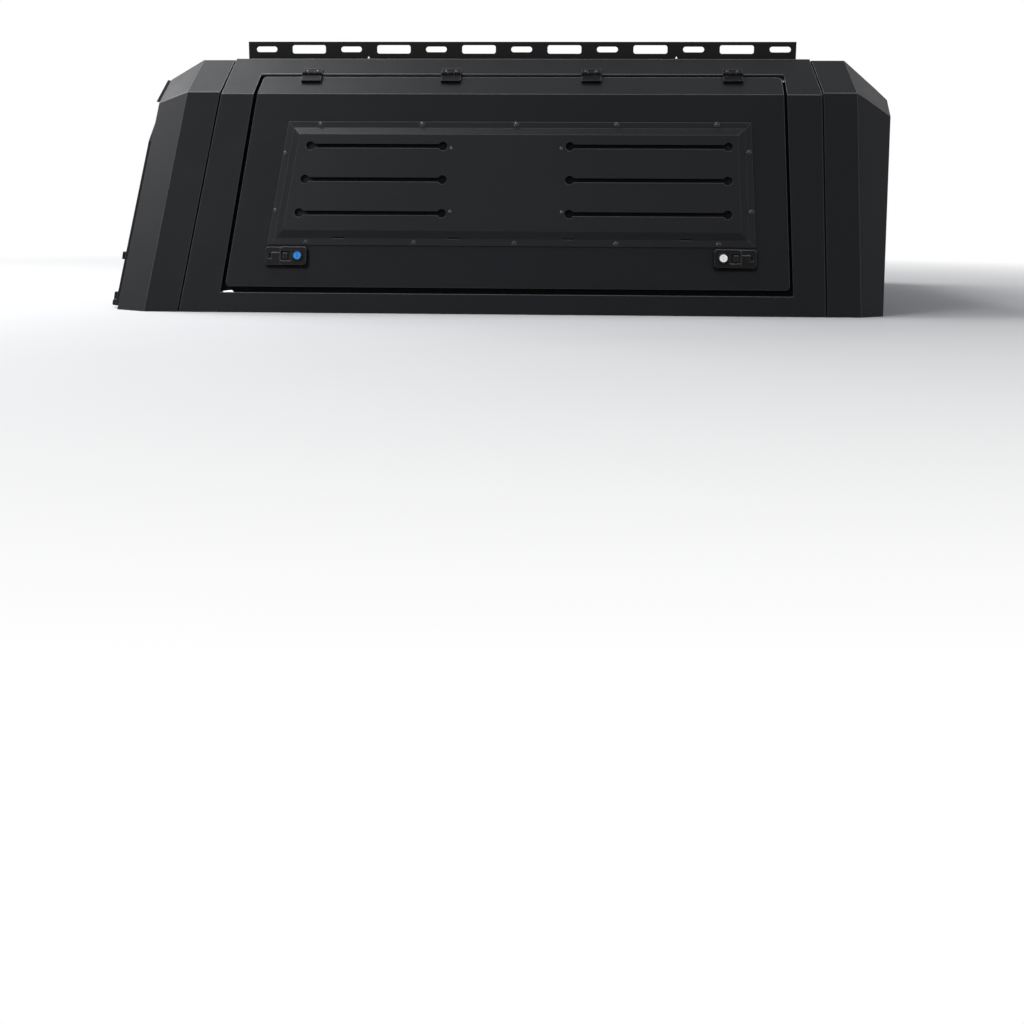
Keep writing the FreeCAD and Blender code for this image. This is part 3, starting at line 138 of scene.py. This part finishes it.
def edges(tree):
    """Where the surface turns sharply, from 0 to 1, as the mask of a painted highlight, with less of it
    on edges that face down and so get less light.

    The cosine between the rounded and the flat surface says how sharply it turns, and the rise of
    the rounded one how far it looks up.
    """
    rounded = node(tree, "ShaderNodeBevel", Radius=EDGE_RADIUS).outputs["Normal"]
    flat = node(tree, "ShaderNodeNewGeometry").outputs["Normal"]
    cosine = node(tree, "ShaderNodeVectorMath", operation="DOT_PRODUCT")
    tree.links.new(rounded, cosine.inputs[0])
    tree.links.new(flat, cosine.inputs[1])
    apart = node(tree, "ShaderNodeSeparateXYZ")
    tree.links.new(rounded, apart.inputs[0])
    both = node(tree, "ShaderNodeMath", operation="MULTIPLY")
    tree.links.new(spread(tree, cosine.outputs["Value"], 1.0, 0.0, *EDGE_COSINE), both.inputs[0])
    tree.links.new(spread(tree, apart.outputs["Z"], HIGHLIGHT_BENEATH, 1.0, *EDGE_RISE), both.inputs[1])
    return both.outputs[0]


# Materials

def powder_coat(name, colour, fold_highlight, roughness, texture, gloss):
    """Fine-textured powder coat with a painted highlight that lightens it along its folds."""
    material, tree, shader = new_material(name, colour, roughness)
    shader.inputs["Specular IOR Level"].default_value = gloss
    patches = spread(tree, noise(tree, scale=5, detail=3), 0.0, 1.0, start=0.35, end=0.65)
    coat = mix(tree, patches, tint(colour, 0.94), tint(colour, 1.06))
    specks = spread(tree, noise(tree, scale=900, detail=1), 0.0, 0.35, start=0.62, end=0.75)
    coat = mix(tree, specks, coat, tint(colour, 1.8))
    # Painted highlight: along the folds the colour turns to a lighter one
    tree.links.new(mix(tree, edges(tree), coat, fold_highlight), shader.inputs["Base Color"])
    uneven(tree, shader, roughness - 0.02, roughness + 0.025, scale=14, detail=4)
    height = node(tree, "ShaderNodeMath", operation="ADD")
    tree.links.new(noise(tree, scale=1400, detail=2, rough=0.6), height.inputs[0])
    tree.links.new(noise(tree, scale=420, detail=1), height.inputs[1])
    grain(tree, shader, height.outputs[0], texture, distance=0.00012)
    return material


def moulded(name, colour, roughness, scale, texture, gloss):
    """Plastic or rubber with a moulded grain."""
    material, tree, shader = new_material(name, colour, roughness)
    shader.inputs["Specular IOR Level"].default_value = gloss
    tone = spread(tree, noise(tree, scale=40, detail=3), 0.0, 1.0)
    cloudy = mix(tree, tone, tint(colour, 0.8), tint(colour, 1.25))
    tree.links.new(cloudy, shader.inputs["Base Color"])
    uneven(tree, shader, roughness - 0.07, roughness + 0.07, scale=90, detail=2)
    grain(tree, shader, noise(tree, scale, detail=2), texture, distance=0.0001)
    return material


def bright_metal(name, colour, roughness, scale):
    """Plated metal with a faint grain."""
    material, tree, shader = new_material(name, colour, roughness, metallic=1.0)
    tone = spread(tree, noise(tree, scale=260, detail=3), 0.0, 1.0)
    tree.links.new(mix(tree, tone, tint(colour, 0.78), colour), shader.inputs["Base Color"])
    uneven(tree, shader, roughness - 0.08, roughness + 0.1, scale=700, detail=2)
    grain(tree, shader, noise(tree, scale, detail=2), strength=0.15, distance=0.00005)
    return material


def tinted_glass(name, colour, roughness):
    """Dark glass with a little dust on it."""
    material, tree, shader = new_material(name, colour, roughness)
    shader.inputs["Transmission Weight"].default_value = 0.75
    shader.inputs["IOR"].default_value = 1.5
    dust = spread(tree, noise(tree, scale=7, detail=5), 0.0, 0.35, start=0.5, end=0.85)
    tree.links.new(mix(tree, dust, colour, tint(colour, 1.6)), shader.inputs["Base Color"])
    uneven(tree, shader, roughness, roughness + 0.05, scale=30, detail=4)
    return material


# The second colour of each coat is the painted highlight along its folds
SHELL = powder_coat("shell_coat", colour=(0.0118, 0.0124, 0.0148), fold_highlight=(0.230, 0.232, 0.245),
                    roughness=0.42, texture=0.35, gloss=0.11)
PRESSED = powder_coat("plate_coat", colour=(0.0118, 0.0124, 0.0148), fold_highlight=(0.120, 0.122, 0.130),
                      roughness=0.39, texture=0.35, gloss=0.15)
DARK = powder_coat("fitting_coat", colour=(0.0085, 0.0085, 0.0092), fold_highlight=(0.060, 0.060, 0.063),
                   roughness=0.45, texture=0.30, gloss=0.12)
LEAF = powder_coat("hinge_coat", colour=(0.0032, 0.0032, 0.0035), fold_highlight=(0.140, 0.140, 0.148),
                   roughness=0.45, texture=0.45, gloss=0.08)
LATCH = powder_coat("latch_coat", colour=(0.0045, 0.0045, 0.0052), fold_highlight=(0.260, 0.262, 0.275),
                    roughness=0.38, texture=0.25, gloss=0.12)
# A lighter copy of the coat for the strip over the header's edge: a painted highlight
HIGHLIGHT_STRIP = powder_coat("painted_highlight_strip", colour=(0.055, 0.055, 0.059), fold_highlight=(0.210, 0.212, 0.225),
                  roughness=0.36, texture=0.20, gloss=0.30)
PLASTIC = moulded("moulded_plastic", colour=(0.0095, 0.0095, 0.0105), roughness=0.42, scale=1100,
                  texture=0.30, gloss=0.18)
RUBBER = moulded("seal_rubber", colour=(0.0045, 0.0045, 0.0047), roughness=0.68, scale=700,
                 texture=0.40, gloss=0.10)
BLUE = moulded("blue_key_cap", colour=(0.008, 0.310, 0.95), roughness=0.30, scale=900,
               texture=0.10, gloss=0.35)
SCREW = bright_metal("black_zinc", colour=(0.065, 0.065, 0.068), roughness=0.20, scale=1500)
SILVER = bright_metal("plated_key_cap", colour=(0.80, 0.80, 0.80), roughness=0.30, scale=2200)
GLASS = tinted_glass("tinted_glass", colour=(0.045, 0.054, 0.052), roughness=0.03)

# The first of these words in a node's name says what it is coated with, and the rest is shell

PAINTS = {"seal": RUBBER, "gutter": RUBBER, "rear_key_cap": BLUE, "front_key_cap": SILVER,
          "latch": LATCH, "plate": PRESSED, "hatch_glass": GLASS, "front_window": GLASS,
          "hinge": LEAF, "catch": DARK, "knob": PLASTIC, "rail": DARK}
for name, cad in NODES.items():
    paint = next((paint for word, paint in PAINTS.items() if word in name), SHELL)
    cad.data.materials.clear()
    cad.data.materials.append(paint)


# Rolled edges: flat triangles are merged, then each fold gets its small radius

FLAT_ANGLE = math.radians(0.6)
FOLD_ANGLE = math.radians(22)
SHEET_FOLD = 0.0011
FOLDS = {"header": SHEET_FOLD, "pillar": SHEET_FOLD, "side_wall": SHEET_FOLD, "sill": SHEET_FOLD,
         "roof_panel": SHEET_FOLD, "hatch_frame": SHEET_FOLD, "door_panel": 0.0013,
         "door_plate": 0.0008, "latch": 0.0012, "key_cap": 0.0016, "window_seal": 0.0020,
         "catch": 0.0012, "knob": 0.0012}


def soften(cad, width):
    """Rounds the folds of a CAD node over a width."""
    merge = cad.modifiers.new("merge", "DECIMATE")
    merge.decimate_type = "DISSOLVE"
    merge.angle_limit = FLAT_ANGLE
    roll = cad.modifiers.new("roll", "BEVEL")
    roll.width = width
    roll.segments = 2
    roll.limit_method = "ANGLE"
    roll.angle_limit = FOLD_ANGLE
    roll.use_clamp_overlap = True
    roll.harden_normals = True


for name, cad in NODES.items():
    for word, width in FOLDS.items():
        if word in name:
            soften(cad, width)


# Ways to make small pieces

def in_scene(name, data):
    """An object of the scene from its mesh, lamp or lens."""
    made = bpy.data.objects.new(name, data)
    bpy.context.scene.collection.objects.link(made)
    return made


def mesh_object(name, bm, paint):
    """An object from a finished mesh in one material."""
    mesh = bpy.data.meshes.new(name)
    bm.to_mesh(mesh)
    bm.free()
    mesh.materials.append(paint)
    return in_scene(name, mesh)


def piece(name, bm, paint, body):
    """A closed mesh that moves with a body of the part."""
    bmesh.ops.recalc_face_normals(bm, faces=bm.faces)
    made = mesh_object(name, bm, paint)
    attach(made, body)


def bridge(bm, near, far):
    """A band of faces between two rings of as many corners."""
    made = []
    for i in range(len(near)):
        j = (i + 1) % len(near)
        corners = list(dict.fromkeys((near[i], near[j], far[j], far[i])))
        if len(corners) > 2:
            made.append(bm.faces.new(corners))
    return made


def lathe(bm, where, profile, steps):
    """Turns a profile of (radius, height) about the Z axis of a frame."""
    turns = [2*math.pi*i/steps for i in range(steps)]
    rings = []
    for radius, height in profile:
        if radius == 0:
            rings.append([bm.verts.new(where @ Vector((0, 0, height)))]*steps)
        else:
            rings.append([bm.verts.new(where @ Vector((radius*math.cos(t), radius*math.sin(t), height)))
                          for t in turns])
    for low, high in zip(rings, rings[1:]):
        for face in bridge(bm, low, high):
            face.smooth = True


def fasteners(name, places, shapes, paint, body, steps=20):
    """Turned shapes at each of a few frames, in one mesh."""
    bm = bmesh.new()
    for where in places:
        for profile in shapes:
            lathe(bm, where, profile, steps)
    piece(name, bm, paint, body)


def slab(name, where, corners, levels, paint, body):
    """A flat piece from its corners and two levels, in the frame of one face."""
    bm = bmesh.new()
    under, over = ([bm.verts.new(where @ Vector((x, y, z))) for x, y in corners] for z in levels)
    bm.faces.new(under)
    bm.faces.new(over)
    bridge(bm, under, over)
    piece(name, bm, paint, body)


def rectangle(x0, y0, x1, y1):
    """The corners of a rectangle."""
    return [(x0, y0), (x1, y0), (x1, y1), (x0, y1)]


def cut_rectangle(x0, y0, x1, y1, cut):
    """The corners of a rectangle with its corners cut off."""
    return [(x0 + cut, y0), (x1 - cut, y0), (x1, y0 + cut), (x1, y1 - cut),
            (x1 - cut, y1), (x0 + cut, y1), (x0, y1 - cut), (x0, y0 + cut)]


def along(where, places):
    """Frames at places of one face."""
    return [where @ Matrix.Translation(place) for place in places]


# Bolts and screws, as profiles of (radius, height) on the face that they sit on

HEAD_SINK = 0.0005


def button_head(radius, height, socket):
    """A domed head with a recess for its key, seated a little in its sheet."""
    rise = height*0.25
    dome = [(radius, -HEAD_SINK), (radius, rise)]
    for degrees in (15, 30, 45, 60, 75):
        t = math.radians(degrees)
        dome.append((radius*math.cos(t)*0.97, rise + (height - rise)*math.sin(t)))
    rim = dome[-1][1]
    return dome + [(socket, rim), (socket*0.92, rim - height*0.55), (0, rim - height*0.62)]


def washer(radius, hole, thick):
    """A flat ring with a small chamfer."""
    return [(hole, 0), (radius, 0), (radius, thick*0.7), (radius*0.94, thick), (hole, thick)]


WASHER_THICK = 0.0010
PLATE_WASHER = washer(radius=0.0058, hole=0.002, thick=WASHER_THICK)
PLATE_BOLT = button_head(radius=0.0045, height=0.0034, socket=0.0019)
FACE_SCREW = button_head(radius=0.0040, height=0.0014, socket=0.0016)
HINGE_SCREW = button_head(radius=0.0036, height=0.0012, socket=0.0017)
RAIL_WASHER = washer(radius=0.0080, hole=0.003, thick=0.0012)
RAIL_BOLT = button_head(radius=0.0055, height=0.0042, socket=0.0023)

# Where they sit: the plate's upper row, lower row, rear end and front end, then its raised face

PLATE_SHEET = 0.003
PLATE_FACE = 0.011
FLANGE_PLACES = [
    (-0.3723, 0.4059), (-0.1544, 0.4066), (0.0463, 0.4072), (0.2595, 0.4079), (0.4703, 0.4085),
    (-0.3981, 0.1512), (-0.1676, 0.1515), (0.0465, 0.1518), (0.2608, 0.1521), (0.4758, 0.1526),
    (-0.4469, 0.3426), (-0.4651, 0.2189),
    (0.5380, 0.3493), (0.5443, 0.2215),
]
FACE_PLACES = [(-0.0907, 0.3530), (-0.0907, 0.2170), (0.1424, 0.3535), (0.1452, 0.2172)]

DOOR_MIDDLE = 0.05285
HINGE_STEP = 0.302
HINGE_MIDDLES = [DOOR_MIDDLE + step*HINGE_STEP for step in (-1.5, -0.5, 0.5, 1.5)]
LEAF_TOP = -0.003
LEAF_SCREW_RISE = 0.0160
LEAF_SCREW_APART = 0.022

ROOF = 0.539
RAIL_SHEET = 0.003
RAIL_FOOT_OUT = 0.4866
RAIL_MIDDLE = 0.05035
RAIL_STEP = 0.1877
RAIL_PLACES = [RAIL_MIDDLE + step*RAIL_STEP for step in (-2.75, -1.75, -0.75, 0.25, 1.25, 2.25)]


def plate_fasteners(hand, side, door):
    """Bolts with washers around the raised plate's flange, and screws in its face."""
    bolts = along(side, [(x, y, PLATE_SHEET) for x, y in FLANGE_PLACES])
    fasteners(f"{hand}_plate_bolts", bolts, [PLATE_WASHER], SCREW, door)
    heads = [where @ Matrix.Translation((0, 0, WASHER_THICK)) for where in bolts]
    fasteners(f"{hand}_plate_bolt_heads", heads, [PLATE_BOLT], SCREW, door)
    small = along(side, [(x, y, PLATE_FACE) for x, y in FACE_PLACES])
    fasteners(f"{hand}_plate_face_screws", small, [FACE_SCREW], SCREW, door)


def hinge_screws(hand, hinge):
    """Two screws in each hinge leaf on the frame."""
    offsets = (-LEAF_SCREW_APART/2, LEAF_SCREW_APART/2)
    upper = along(hinge, [(x + dx, LEAF_SCREW_RISE, LEAF_TOP) for x in HINGE_MIDDLES for dx in offsets])
    fasteners(f"{hand}_frame_hinge_screws", upper, [HINGE_SCREW], SCREW, "canopy")


def rail_bolts(hand, turn):
    """Bolts with washers in the foot of the roof rail."""
    on_foot = along(turn, [(x, -RAIL_FOOT_OUT, ROOF + RAIL_SHEET) for x in RAIL_PLACES])
    fasteners(f"{hand}_rail_bolts", on_foot, [RAIL_WASHER, RAIL_BOLT], SCREW, "canopy")


# Gaskets at the latches, which reach further down and forward as a painted shadow, and bezels which hold
# their key a little towards the door's middle

SINK = 0.0002
LATCHES = {"rear": (-0.43865, 0.025), "front": (0.51035, -0.025)}
LATCH_RISE = 0.120
# The gasket reaches further below and forward than the latch, as a painted shadow of it
SHADOW_GASKET_REAR, SHADOW_GASKET_FRONT = 0.0445, 0.0470
SHADOW_GASKET_BELOW, SHADOW_GASKET_ABOVE = 0.0245, 0.0197
SHADOW_GASKET_CUT = 0.004
SHADOW_GASKET_LEVELS = (-SINK, 0.0016)
COLLAR = [(0.0083, 0.0148), (0.0083, 0.0158), (0.0096, 0.0160), (0.0118, 0.0138), (0.0122, 0.0118),
          (0.0105, 0.0118)]


def latch_trims(hand, side, door):
    """A dark rubber gasket under each latch, reaching out below and forward of it as a painted shadow,
    and a collar around its key.
    """
    for end, (middle, key) in LATCHES.items():
        under = cut_rectangle(middle - SHADOW_GASKET_REAR, LATCH_RISE - SHADOW_GASKET_BELOW,
                              middle + SHADOW_GASKET_FRONT, LATCH_RISE + SHADOW_GASKET_ABOVE, SHADOW_GASKET_CUT)
        slab(f"{hand}_{end}_latch_shadow_gasket", side, under, SHADOW_GASKET_LEVELS, RUBBER, door)
        ring = along(side, [(middle + key, LATCH_RISE, 0)])
        fasteners(f"{hand}_{end}_key_collar", ring, [COLLAR], PLASTIC, door, 40)


# Painted shade behind the plate's slots, the header's edge with its rubber trim that stands in for shade
# and its painted highlight, and painted glints at corners of the door opening

# Corners of a dark sheet behind the plate's slots: painted shade
SLOT_SHADE_CORNERS = [(-0.400, 0.190), (0.500, 0.190), (0.490, 0.375), (-0.375, 0.375)]
SLOT_SHADE_LEVELS = (-SINK, 0.0010)

HEADER_REAR, HEADER_FRONT = -0.512, 0.614
HEADER_FACE = -0.006
# The dark trim also stands in for the shade in the gap under the header's edge, and the light strip over
# it is a painted highlight of that edge
SHADE_TRIM_LOW = 0.0025
SHADE_TRIM_HIGH = SHADE_TRIM_LOW + 0.0042
HIGHLIGHT_STRIP_HIGH = SHADE_TRIM_HIGH + 0.0020
SHADE_TRIM_LEVELS = (HEADER_FACE - SINK, HEADER_FACE + 0.0008)
HIGHLIGHT_STRIP_LEVELS = (HEADER_FACE - SINK, HEADER_FACE + 0.0006)

# Bright metal pieces at two corners of the door opening: painted glints
REAR_GLINT = [(-0.5763, 0.0437), (-0.5510, 0.0437), (-0.5570, 0.0500), (-0.5763, 0.0478)]
REAR_GLINT_LEVELS = (-0.0120, -0.0105)
FRONT_GLINT = [(0.6040, 0.0022), (0.6148, 0.0022), (0.6162, -0.0100), (0.6125, -0.0100),
                (0.6105, -0.0022), (0.6040, -0.0003)]
FRONT_GLINT_LEVELS = (-0.0140, -0.0125)


def plate_slot_shade(hand, side, door):
    """A dark sheet behind the slots of the raised plate: painted shade, where only the shaded door skin
    would show.
    """
    slab(f"{hand}_plate_slot_shade", side, SLOT_SHADE_CORNERS, SLOT_SHADE_LEVELS, RUBBER, door)


def header_edge(hand, hinge):
    """The rubber trim along the header's lower edge, which also stands in for the shade in the gap
    there, and over it a light strip, a painted highlight of the header's rolled edge.
    """
    trim = rectangle(HEADER_REAR, SHADE_TRIM_LOW, HEADER_FRONT, SHADE_TRIM_HIGH)
    slab(f"{hand}_header_shade_trim", hinge, trim, SHADE_TRIM_LEVELS, RUBBER, "canopy")
    lip = rectangle(HEADER_REAR, SHADE_TRIM_HIGH, HEADER_FRONT, HIGHLIGHT_STRIP_HIGH)
    slab(f"{hand}_header_highlight_strip", hinge, lip, HIGHLIGHT_STRIP_LEVELS, HIGHLIGHT_STRIP, "canopy")


def opening_corner_glints(hand, side, hinge):
    """Bright metal pieces in the corners of the gap around the door, standing in for glints of light
    there: painted highlights.
    """
    slab(f"{hand}_rear_corner_glint", side, REAR_GLINT, REAR_GLINT_LEVELS, SILVER, "canopy")
    slab(f"{hand}_front_corner_glint", hinge, FRONT_GLINT, FRONT_GLINT_LEVELS, SILVER, "canopy")


for hand, turn in HANDS.items():
    door = "right_door" if hand == "right" else "canopy"
    side = turn @ SIDE
    hinge = turn @ HINGE
    plate_fasteners(hand, side, door)
    hinge_screws(hand, hinge)
    latch_trims(hand, side, door)
    plate_slot_shade(hand, side, door)
    header_edge(hand, hinge)
    opening_corner_glints(hand, side, hinge)
    rail_bolts(hand, turn)


# Rubber bead around the hatch's glass, as a profile of (distance in, height)

BEAD = [(0.0, 0.0), (0.0, 0.0035), (0.003, 0.0045), (0.008, 0.0040), (0.012, 0.0012), (0.012, 0.0)]


def outer_outline(cad, where):
    """The corners of a flat pane's outer face, in turn around it, in the frame of that face."""
    local = [where.inverted() @ cad.matrix_world @ v.co for v in cad.data.vertices]
    level = max(p.z for p in local)
    corners = {(round(p.x, 5), round(p.y, 5)) for p in local if level - p.z < 1e-4}
    mid = sum(y for _, y in corners)/len(corners)
    return sorted(corners, key=lambda c: math.atan2(c[1] - mid, c[0])), level


def inset(corners, distance):
    """The corners of a convex outline moved in by a distance."""
    moved = []
    for i, corner in enumerate(corners):
        here = Vector(corner)
        before = (here - Vector(corners[i - 1])).normalized()
        after = (Vector(corners[(i + 1) % len(corners)]) - here).normalized()
        inward = Vector((-before.y, before.x))
        lean = (inward + Vector((-after.y, after.x))).normalized()
        moved.append(here + lean*distance/lean.dot(inward))
    return moved


def bead(name, pane, where, profile, paint, body):
    """A strip along the outer edge of a flat pane."""
    corners, level = outer_outline(pane, where)
    bm = bmesh.new()
    rings = [[bm.verts.new(where @ Vector((p.x, p.y, level + height))) for p in inset(corners, distance)]
             for distance, height in profile]
    for near, far in zip(rings, rings[1:] + rings[:1]):
        bridge(bm, near, far)
    piece(name, bm, paint, body)


bead("hatch_glass_bead", NODES["hatch_glass"], REAR, BEAD, RUBBER, "rear_hatch")


# Surroundings: white to the eye, and a soft light on the object that is weaker from the front

SKY = (0.88, 0.93, 1.0)
SKY_REAR, SKY_FRONT = 0.34, 0.17
SKY_TURN = 0.8
FLOOR_REACH = 9
FLOOR_TONES = ((0.79, 0.79, 0.79), (0.81, 0.81, 0.81))
FLOOR_FADE = (1.3, 3.2)


def in_view(tree):
    """1 for the camera, in reflections and through glass, and 0 for the light on the object."""
    path = node(tree, "ShaderNodeLightPath")
    seen = path.outputs["Is Camera Ray"]
    for kind in ("Is Transmission Ray", "Is Glossy Ray"):
        either = node(tree, "ShaderNodeMath", operation="MAXIMUM")
        tree.links.new(seen, either.inputs[0])
        tree.links.new(path.outputs[kind], either.inputs[1])
        seen = either.outputs[0]
    return seen


def blend(tree, share, first, second, target):
    """Sends a blend of two shaders to the surface of an output node."""
    either = node(tree, "ShaderNodeMixShader")
    for index, source in enumerate((share, first, second)):
        tree.links.new(source, either.inputs[index])
    tree.links.new(either.outputs[0], tree.nodes[target].inputs["Surface"])


def studio():
    """A world that looks white and lights the rear of the canopy more than its front."""
    world = bpy.data.worlds.new("studio")
    world.use_nodes = True
    tree = world.node_tree
    apart = node(tree, "ShaderNodeSeparateXYZ")
    tree.links.new(node(tree, "ShaderNodeTexCoord").outputs["Generated"], apart.inputs[0])
    ambient = tree.nodes["Background"]
    ambient.inputs["Color"].default_value = (*SKY, 1)
    strength = spread(tree, apart.outputs["X"], SKY_REAR, SKY_FRONT, -SKY_TURN, SKY_TURN)
    tree.links.new(strength, ambient.inputs["Strength"])
    white = node(tree, "ShaderNodeBackground", Color=(1, 1, 1, 1), Strength=1.0)
    blend(tree, in_view(tree), ambient.outputs[0], white.outputs[0], "World Output")
    return world


def pale_floor():
    """A matt floor that turns to plain white away from the object."""
    material, tree, shader = new_material("pale_floor", (0.80, 0.80, 0.80), 0.85)
    tone = spread(tree, noise(tree, scale=2.5, detail=4), 0.0, 1.0)
    tree.links.new(mix(tree, tone, *FLOOR_TONES), shader.inputs["Base Color"])
    away = node(tree, "ShaderNodeVectorMath", operation="LENGTH")
    tree.links.new(node(tree, "ShaderNodeTexCoord").outputs["Object"], away.inputs[0])
    seen = node(tree, "ShaderNodeMath", operation="MULTIPLY")
    tree.links.new(spread(tree, away.outputs["Value"], 0.0, 1.0, *FLOOR_FADE), seen.inputs[0])
    tree.links.new(in_view(tree), seen.inputs[1])
    white = node(tree, "ShaderNodeEmission", Strength=1.0)
    blend(tree, seen.outputs[0], shader.outputs[0], white.outputs[0], "Material Output")
    return material


bpy.context.scene.world = studio()

bm = bmesh.new()
bm.faces.new([bm.verts.new((x, y, 0))
              for x, y in rectangle(-FLOOR_REACH, -FLOOR_REACH, FLOOR_REACH, FLOOR_REACH)])
floor = mesh_object("floor", bm, pale_floor())


# Lamps

def area(name, where, aim, wide, high, power, colour):
    """A rectangular lamp that looks at a point."""
    light = bpy.data.lights.new(name, "AREA")
    light.shape = "RECTANGLE"
    light.size, light.size_y = wide, high
    light.energy = power
    light.color = colour
    lamp = in_scene(name, light)
    lamp.location = where
    lamp.rotation_mode = "QUATERNION"
    lamp.rotation_quaternion = (Vector(aim) - Vector(where)).to_track_quat("-Z", "Y")


area("top", where=(-1.70, 0.10, 3.0), aim=(-0.95, -0.2, 0.5), wide=1.3, high=1.5, power=56,
     colour=(0.97, 0.985, 1.0))
area("brow", where=(-0.90, -1.05, 3.0), aim=(-0.60, -0.80, 0.35), wide=1.3, high=0.5, power=18,
     colour=(0.98, 0.99, 1.0))
area("key", where=(-3.1, 1.0, 1.75), aim=(-0.8, -0.4, 0.35), wide=1.8, high=1.6, power=44,
     colour=(0.99, 0.99, 1.0))
area("fill", where=(-1.9, -3.5, 2.2), aim=(-0.5, -0.7, 0.3), wide=1.3, high=1.3, power=21,
     colour=(0.98, 0.985, 1.0))


# Camera, fitted to the photo

EYE = (0.19665, -3.930, 0.2286)
YAW = math.radians(-2.71)
PITCH = math.radians(11.6)
ROLL = math.radians(-0.31)
FOCAL_PIXELS = 1500
PHOTO_PIXELS = 1024
SENSOR = 36

ahead = Vector((math.sin(YAW)*math.cos(PITCH), math.cos(YAW)*math.cos(PITCH), -math.sin(PITCH)))
level = Vector((math.cos(YAW), -math.sin(YAW), 0))
down = ahead.cross(level)
right = level*math.cos(ROLL) + down*math.sin(ROLL)
down = down*math.cos(ROLL) - level*math.sin(ROLL)
lens = bpy.data.cameras.new("camera")
lens.sensor_width = SENSOR
lens.lens = FOCAL_PIXELS/PHOTO_PIXELS*SENSOR
camera = in_scene("camera", lens)
camera.matrix_world = Matrix.Translation(EYE) @ Matrix((right, -down, -ahead)).transposed().to_4x4()
bpy.context.scene.camera = camera

bpy.context.scene.view_settings.view_transform = "Standard"
